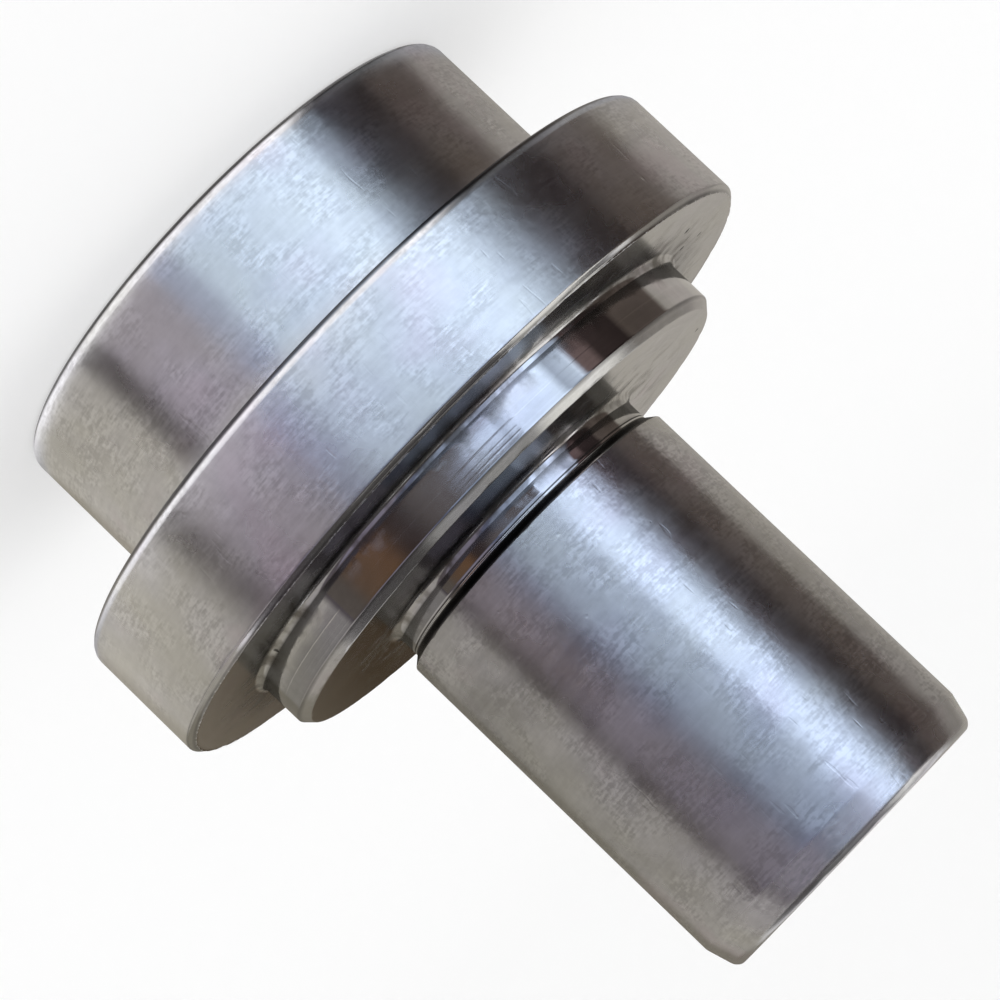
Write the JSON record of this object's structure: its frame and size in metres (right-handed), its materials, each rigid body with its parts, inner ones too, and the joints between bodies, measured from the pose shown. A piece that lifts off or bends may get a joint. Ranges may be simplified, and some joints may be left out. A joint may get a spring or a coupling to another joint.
{
  "type": "idler shaft",
  "caption": "Stepped turned steel shaft: a short bearing drum, a wide thrust flange, a low pilot shoulder and a long ground spigot on one axis.",
  "frame": {"origin": "centre of the drum's end face, on the turning axis", "axes": "+Z along the turning axis, from the drum towards the spigot's tip; X and Y are free, because the shaft is round"},
  "size_m": [0.08, 0.08, 0.0885],
  "materials": {
    "steel": "turned and ground, bare"
  },
  "bodies": {
    "root": {"idler_shaft": "steel"}
  },
  "joints": []
}
